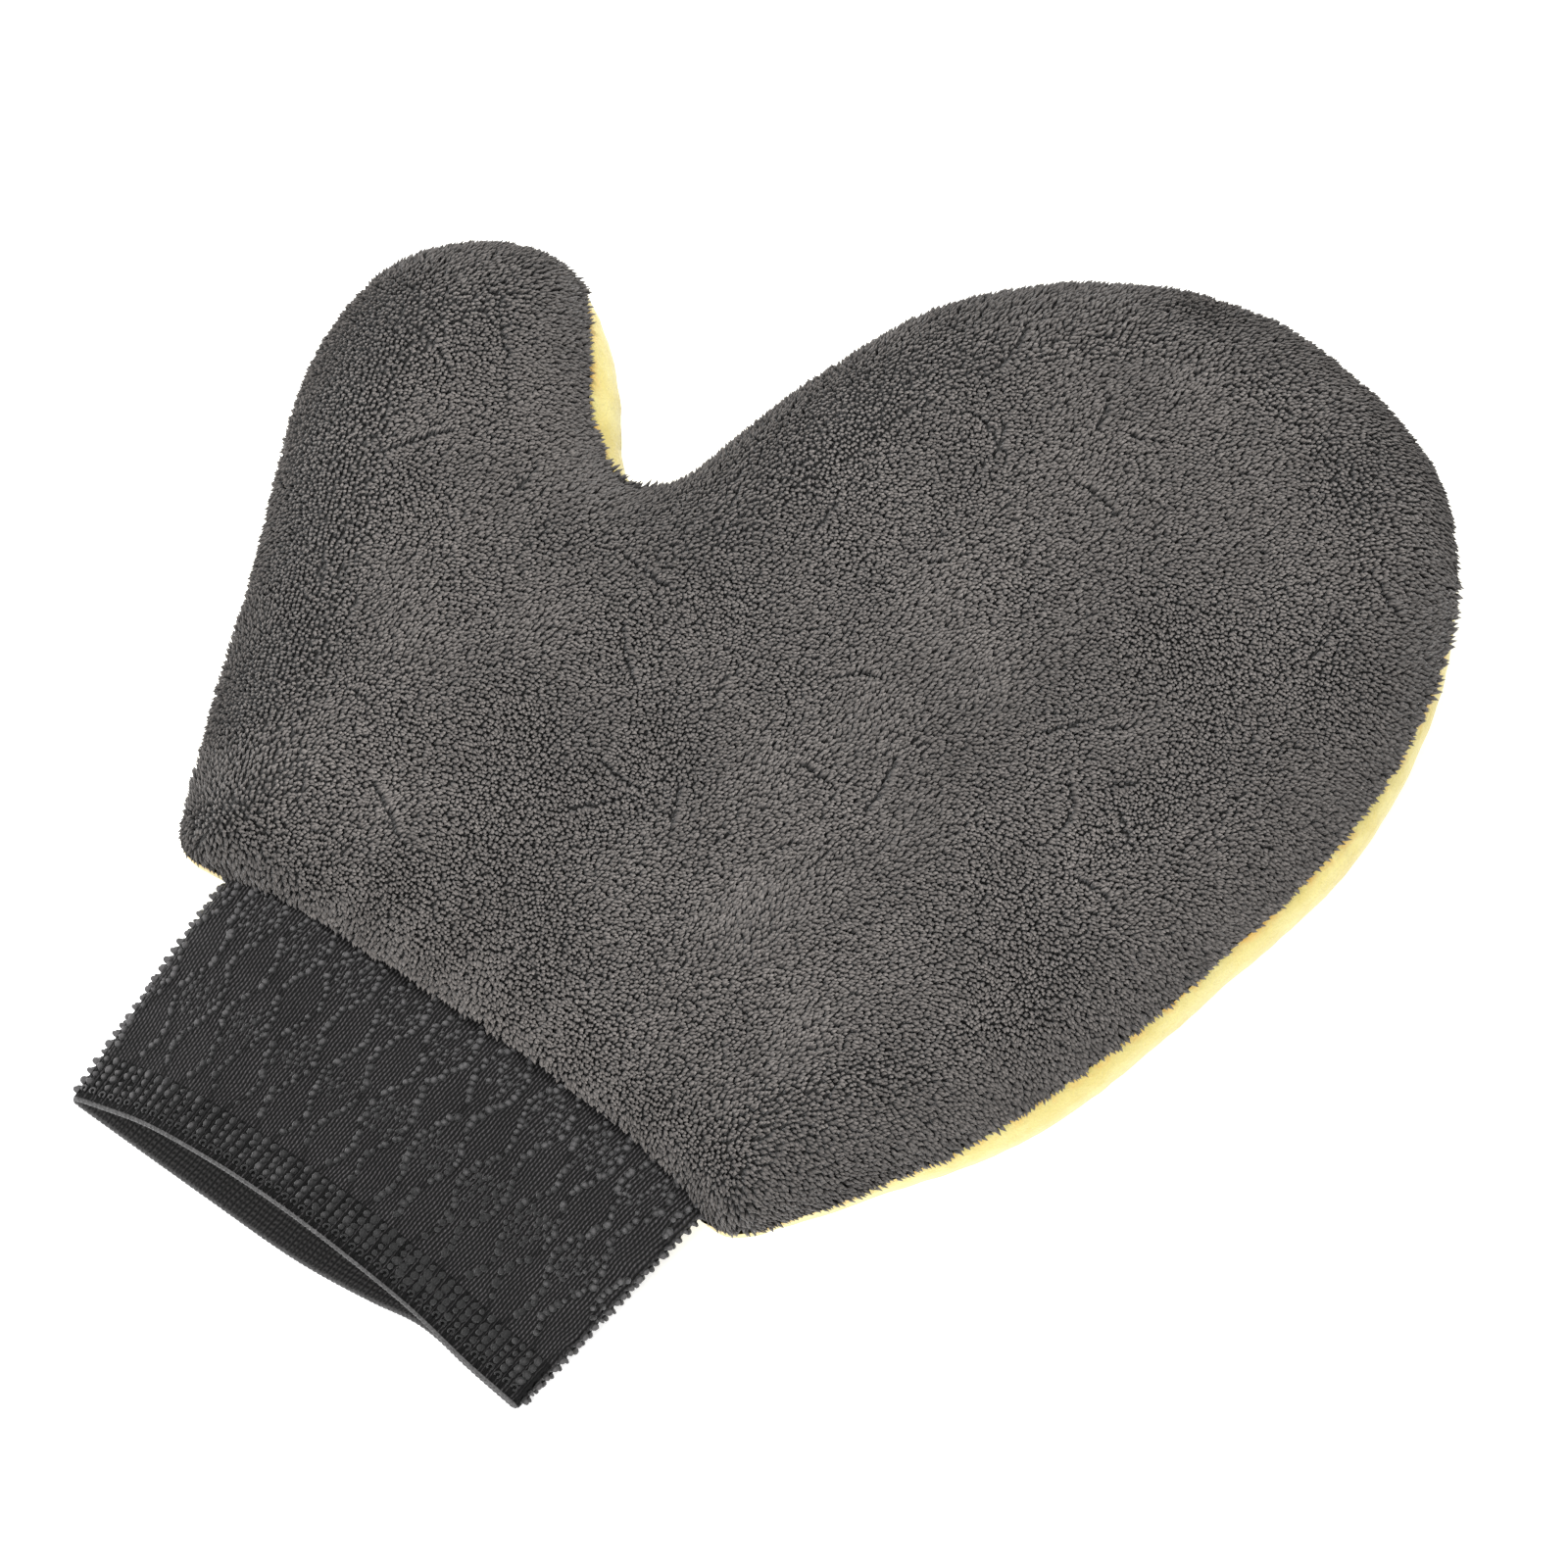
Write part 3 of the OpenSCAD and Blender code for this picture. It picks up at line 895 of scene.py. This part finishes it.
def curve(x, points):
    """A smooth curve through a few points."""
    kx, ky = np.array(points, float).T
    slope = np.gradient(ky, kx)
    i = np.clip(np.searchsorted(kx, x) - 1, 0, len(kx) - 2)
    span = kx[i + 1] - kx[i]
    t = np.clip((x - kx[i]) / span, 0, 1)
    return ((1 + 2 * t) * (1 - t) ** 2 * ky[i] + t * (1 - t) ** 2 * span * slope[i]
            + t * t * (3 - 2 * t) * ky[i + 1] + t * t * (t - 1) * span * slope[i + 1])


# ---- cuff

MOUTH_X = -0.9
MOUTH_HALF_W = 54.0
CUFF_END = 59.0       # how far the knit reaches, hidden under the pile at the mitt's edge
CUFF_WALL = 1.2
MOUTH_Y = 1.2
# Heights and set-backs of the two layers at the mouth, across the cuff
MOUTH_TOP_Z = [(-54, 2.9), (-48, 5.6), (-39.5, 9.8), (-22.5, 14.4), (-6, 16.0), (6, 15.4),
               (20, 12.0), (30, 8.6), (38, 5.9), (54, 2.9)]
MOUTH_LOW_Z = [(-54, 0.3), (-30, 0.3), (4, 0.4), (18, 2.4), (29, 4.8), (35, 4.4), (42, 2.5),
               (54, 0.3)]
MOUTH_TOP_BACK = [(-54, -0.6), (-48, 0.3), (-39.5, 1.3), (-22, 2.2), (10, 2.6), (30, 2.7),
                  (42, 1.8), (54, 1.2)]
MOUTH_LOW_BACK = [(-54, -0.8), (-20, -0.6), (5, 0), (20, 1.4), (30, 2.5), (42, 1.8), (54, 1.2)]


def cuff_ease(s):
    """How much of the section at its mitt end the cuff has at s."""
    first = smooth_step(-0.35, 1.0, 0.0)
    return (smooth_step(-0.35, 1.0, s) - first) / (1 - first)


def cuff_span(s):
    """The cuff's middle and half its width at s."""
    return MOUTH_X + (JOIN_X - MOUTH_X) * s, MOUTH_HALF_W + (JOIN_HALF_W - 1.0 - MOUTH_HALF_W) * s


def cuff_point(u, s, up, inset=0.0):
    """A point of the cuff: u from -1 to 1 across it, s from 0 at the mouth to 1 at the mitt."""
    u, s, up = np.broadcast_arrays(np.asarray(u, float), s, up)
    across = u * MOUTH_HALF_W
    middle, half_w = cuff_span(s)
    half_w = half_w - inset
    lens = (JOIN_HALF_T - 1.8) * np.sqrt(np.maximum(1 - u * u, 0)) + CUFF_WALL
    ease = cuff_ease(s)
    top = curve(across, MOUTH_TOP_Z) * (1 - ease) + (MID_Z + lens) * ease
    low = curve(across, MOUTH_LOW_Z) * (1 - ease) + (MID_Z - lens) * ease
    half = np.maximum((top - low) / 2 - inset, 0.04)
    near = np.clip((1 - np.abs(u)) * half_w / 1.6, 0, 1)
    half = half * np.sqrt(1 - (1 - near) ** 2)
    back = np.where(up > 0, curve(across, MOUTH_TOP_BACK), curve(across, MOUTH_LOW_BACK))
    wave = 0.45 * np.sin(across * 0.16 + 2.0 * s) * np.sin(math.pi * np.clip(s, 0, 1)) * (up > 0)
    y = (MOUTH_Y + back) * (1 - s) + CUFF_END * s
    return np.stack([middle + half_w * u, y, (top + low) / 2 + up * half + wave], -1)


def cuff_normal(u, s, up):
    d = 0.004
    across = cuff_point(np.clip(u + d, -1, 1), s, up) - cuff_point(np.clip(u - d, -1, 1), s, up)
    along = cuff_point(u, s + d, up) - cuff_point(u, s - d, up)
    return unit(np.cross(across, along) * np.asarray(up, float)[..., None])


def cuff_loop(count):
    """u and up for points round the cuff, closer together at the two folds."""
    turn = np.linspace(0, math.tau, count, endpoint=False)
    return np.cos(turn), np.where(np.sin(turn) >= 0, 1.0, -1.0)


def cuff_shell(rows=54, count=260):
    """The knit tube's two walls, the inner one last, with a map in millimetres."""
    u, up = cuff_loop(count)
    walls = [cuff_point(u, k / rows, up, inset)
             for inset in (0.0, CUFF_WALL) for k in range(rows + 1)]
    order = list(range(rows + 1)) + list(range(2 * rows + 1, rows, -1))
    faces, kinds = [], []
    for a, b in zip(order, order[1:] + order[:1]):
        faces += between(b * count, a * count, count)
        kinds += [int(a > rows or b > rows)] * count
    knit = [np.column_stack([u * JOIN_HALF_W, np.full(count, (k % (rows + 1)) / rows * CUFF_END)])
            for k in range(2 * rows + 2)]
    return np.concatenate(walls), faces, np.concatenate(knit), kinds


KNOT_GAP = 1.35
HEM_ROWS = (3.6, 5.3, 7.0, 8.7)


def knot_pattern():
    """Zig-zag pairs of knot columns, and the small knots that fill the bands between them."""
    rng = default_rng(SEED)
    columns, fill = [], []
    for y in np.arange(12.5, CUFF_END - 2, KNOT_GAP):
        spread = 0.5 + 0.5 * math.cos((y - BAND_AT) / BAND_GAP * math.tau)
        half = PAIR_HALF + PAIR_SPREAD * spread
        in_band = abs((y - BAND_AT + BAND_GAP / 2) % BAND_GAP - BAND_GAP / 2) < 4.2
        for k in range(-5, 6):
            middle = k * PAIR_GAP + PAIR_AT
            columns += [(middle - half, y), (middle + half, y)]
            if in_band:
                fill += [(x, y) for x in np.arange(middle - half + 1.6, middle + half - 1.0, 1.6)]
    sets = [np.array(spots) + rng.normal(0, 0.28, (len(spots), 2)) for spots in (columns, fill)]
    return [spots[rng.uniform(0, 1, len(spots)) > lost] for spots, lost in zip(sets, (0.06, 0.25))]


def hem_pattern(rows):
    rng = default_rng(SEED + 2)
    spots = [(x, y) for y in rows for x in np.arange(-58, 58.1, HEM_GAP)]
    return np.array(spots) + rng.normal(0, 0.12, (len(spots), 2))


def on_cuff(spots, up):
    """Places and normals on one layer of the cuff, for spots measured at its mitt end."""
    u, s = (spots / [JOIN_HALF_W, CUFF_END]).T
    keep = np.abs(u) < 0.985
    return cuff_point(u[keep], s[keep], up), cuff_normal(u[keep], s[keep], up)


def fold_loops(gap=2.1, seed=SEED + 9):
    """The yarn loops that stick out along the two side folds."""
    rng = default_rng(seed)
    places, normals = [], []
    for u in (-1.0, 1.0):
        for up, tilt, first in ((1.0, 0.25, 1.5), (-1.0, -0.45, 2.5)):
            y = np.arange(first, CUFF_END - 4, gap)
            s = (y + rng.normal(0, 0.14, len(y))) / CUFF_END
            places.append(cuff_point(u * 0.998, s, up))
            normals.append(unit(np.tile([u, -0.15, tilt], (len(s), 1))))
    return knots(np.concatenate(places), np.concatenate(normals), 0.5, 1.15, seed)


def height_over_cuff(points):
    """How far each point stands above the knit, 1 for the tip of a knot."""
    s = np.clip((points[:, 1] - MOUTH_Y) / (CUFF_END - MOUTH_Y), 0, 1)
    middle, half_w = cuff_span(s)
    u = np.clip((points[:, 0] - middle) / half_w, -1, 1)
    top, low = cuff_point(u, s, 1.0)[:, 2], cuff_point(u, s, -1.0)[:, 2]
    return np.clip(np.maximum(points[:, 2] - top, low - points[:, 2]) / 0.9, 0, 1)


def mouth_edge():
    """The line that the rolled edge follows round the mouth."""
    u, up = cuff_loop(1500)
    outer, inner = cuff_point(u, 0.0, up), cuff_point(u, 0.0, up, CUFF_WALL)
    ring = (outer + inner) / 2
    run = run_along(ring)
    return places_at(np.arange(0, run[-1], 0.25), run, ring)


def build_cuff():
    """The knit tube, its knots, rings and loops, and the rolled edge at the mouth."""
    points, faces, knit, kinds = cuff_shell()
    shell = mesh_object("cuff_knit", points, faces, knit_cloth, knit_inside, uv=knit, kinds=kinds)
    settle(shell, "cuff", "cuff_knit", "rib_cuff")
    dots = []
    for up in (1, -1):
        columns, fill = knot_pattern()
        dots += [knots(*on_cuff(columns, up), 0.54, 0.85, SEED + up, 0.6, 1.1),
                 knots(*on_cuff(fill, up), 0.4, 0.7, SEED + 3 + up, 0.6, 1.2),
                 knots(*on_cuff(hem_pattern(HEM_ROWS), up), 0.58, 0.8, SEED + 5 + up, 0.3, 1.2),
                 open_rings(*on_cuff(hem_pattern((1.9,)), up))]
    points, faces = joined(*dots, fold_loops())
    raised = mesh_object("cuff_knots", points, faces, knot_yarn,
                         marks={"knot_height": height_over_cuff(points)})
    settle(raised, "cuff", "cuff_knit")
    roll = mesh_object("cuff_rolled_edge", *swept(mouth_edge(), 0.6, 0.6, 10, 1.1, True), edge_yarn)
    settle(roll, "cuff", "elastic_thread", "hem_elastic")


def build_cuff_seam():
    """The ring of thread that sews the cuff to the mitt, hidden under the pile."""
    u, up = cuff_loop(400)
    ring = cuff_point(u, 0.96, up) + np.column_stack([u * 0.3, 0 * u, up * 0.5])
    ring = np.vstack([ring, ring[:1]])
    seam = mesh_object("cuff_seam_thread", *swept(coiled(ring, 0.8, 1.7), 0.16, 0.16, 5), thread)
    settle(seam, "cuff", "seam_thread", "cuff_seam")


# ---- the mitt's pieces

def two_parts(thumb):
    """The hand part and the thumb part: a name's ending, which entries it has, and its body."""
    return ("", ~thumb, "fingers"), ("_thumb", thumb, "thumb")


def cad_parts(node, ending):
    """The CAD nodes of a cloth's hand part or thumb part."""
    return [node + "_thumb"] if ending else [node + "_palm", node + "_fingers"]


def build_skin(side, name, node, material, slot):
    """A side's cloth, in a hand part and a thumb part."""
    points, faces = side.skin()
    middles = np.array([points[f, :2].mean(0) for f in faces])
    for ending, wanted, body in two_parts(in_thumb(middles)):
        part, part_faces, used = keep_faces(points, faces, wanted)
        obj = mesh_object(name + ending, part, part_faces, material,
                          marks={"near_seam": (used < len(outline)).astype(float)})
        settle(obj, body, slot, *cad_parts(node, ending))


def build_pile():
    """The grey face's pile, in a hand part and a thumb part."""
    tufts = pile_roots(FACE)
    for ending, wanted, body in two_parts(in_thumb(tufts[0][:, :2])):
        obj = pile_object("face_pile" + ending, *(values[wanted] for values in tufts))
        settle(obj, body, "grey_plush")


def seam_line():
    """The line of the edge seam, from one side of the cuff round the fingers to the other."""
    index = np.arange(len(outline), dtype=float)
    lift = outline[:, 2]
    inward = FACE.profile(np.arcsin(lift / FACE.rise))[0]
    xy = on_track(index, FACE.base + 1.8 + inward)
    line = np.column_stack([xy, MID_Z + lift])
    at_cuff = (np.abs(xy[:, 0] - JOIN_X) < JOIN_HALF_W) & (xy[:, 1] < CUFF_L + 8)
    first = np.flatnonzero(at_cuff & ~np.roll(at_cuff, -1))[0] + 1
    line, at_cuff = np.roll(line, -first, axis=0), np.roll(at_cuff, -first)
    return line[~at_cuff]


def build_edge_seam():
    """The overlocked seam: its flat edge and the thread that winds round it, in three parts."""
    line = seam_line()
    thumb = in_thumb(line[:, :2])
    first, last = np.flatnonzero(thumb)[[0, -1]]
    spans = (("", line[:first + 1], "fingers"), ("_thumb", line[first:last + 2], "thumb"),
             ("_wrist", line[last + 1:], "fingers"))
    for ending, path, body in spans:
        shape = joined(swept(path, 1.3, 0.8, 6), swept(coiled(path, 1.15, 2.0), 0.18, 0.18, 5))
        obj = mesh_object("seam_tape" + ending, *shape, thread)
        nodes = [] if ending == "_wrist" else cad_parts("edge_seam", ending)
        settle(obj, body, "seam_thread", *nodes)


FACE_SHAPE = (1, EDGE_RUN, FACE_RISE, CROWN, (BACK_RUN, BACK_DROP))
BACK_SHAPE = (-1, BACK_RUN, BACK_DROP, 0.0, (EDGE_RUN, FACE_RISE))
FACE = Side(*FACE_SHAPE, GREY_COVER)
BACK = Side(*BACK_SHAPE, YELLOW_COVER)
FACE_LINING = Side(*FACE_SHAPE, GREY_COVER, LINING_GAP)
BACK_LINING = Side(*BACK_SHAPE, YELLOW_COVER, LINING_GAP)
build_skin(FACE, "face_panel", "face", shaded_grey_cloth, "grey_plush")
build_pile()
build_skin(BACK, "back_panel", "back", yellow_fleece, "yellow_plush")
build_skin(FACE_LINING, "face_lining_cloth", "face_lining", lining_cloth, "lining_cloth")
build_skin(BACK_LINING, "back_lining_cloth", "back_lining", lining_cloth, "lining_cloth")
build_edge_seam()
build_cuff()
build_cuff_seam()

# ---- camera, floor and light

CAMERA_AZIMUTH = math.radians(37.18)
CAMERA_ELEVATION = math.radians(67.8)
CAMERA_DISTANCE = 2.2
FIELD_WIDTH = 0.3084
LOOK_AT = Vector((0.0128, 0.0016, 0.003))
SENSOR = 36.0


def aim(obj, place, way):
    obj.location = place
    obj.rotation_euler = way.to_track_quat("-Z", "Y").to_euler()


def add_camera():
    data = bpy.data.cameras.new("camera")
    camera = in_scene("camera", data)
    away = Vector((math.sin(CAMERA_AZIMUTH) * math.cos(CAMERA_ELEVATION),
                   -math.cos(CAMERA_AZIMUTH) * math.cos(CAMERA_ELEVATION),
                   math.sin(CAMERA_ELEVATION)))
    aim(camera, LOOK_AT + away * CAMERA_DISTANCE, -away)
    data.sensor_width = SENSOR
    data.lens = SENSOR * CAMERA_DISTANCE / FIELD_WIDTH
    bpy.context.scene.camera = camera


def add_floor():
    """A white floor that gives off a little light, so that it stays white beside the mitt."""
    half = 6.0
    mesh = bpy.data.meshes.new("floor")
    corners = [(-half, -half, 0), (half, -half, 0), (half, half, 0), (-half, half, 0)]
    mesh.from_pydata(corners, [], [(0, 1, 2, 3)])
    p = Paint("floor_white")
    p.set(Base_Color=(0.85, 0.85, 0.85), Roughness=0.9, Specular_IOR_Level=0.1,
          Emission_Color=(1, 1, 1), Emission_Strength=0.5)
    mesh.materials.append(p.material)
    in_scene("floor", mesh)


def add_light(name, place, size, power):
    data = bpy.data.lights.new(name, "AREA")
    data.shape = "DISK"
    data.size = size
    data.energy = power
    aim(in_scene(name, data), place, -Vector(place))


def add_sky(strength):
    world = bpy.data.worlds.new("studio")
    bpy.context.scene.world = world
    world.use_nodes = True
    background = world.node_tree.nodes["Background"]
    background.inputs["Color"].default_value = (1, 1, 1, 1)
    background.inputs["Strength"].default_value = strength


add_camera()
add_floor()
add_light("key", (-0.58, 0.5, 1.95), 0.45, 40)
add_light("fill", (0.1, -1.3, 1.6), 0.9, 31)
add_sky(0.86)
bpy.context.scene.view_settings.view_transform = "Standard"
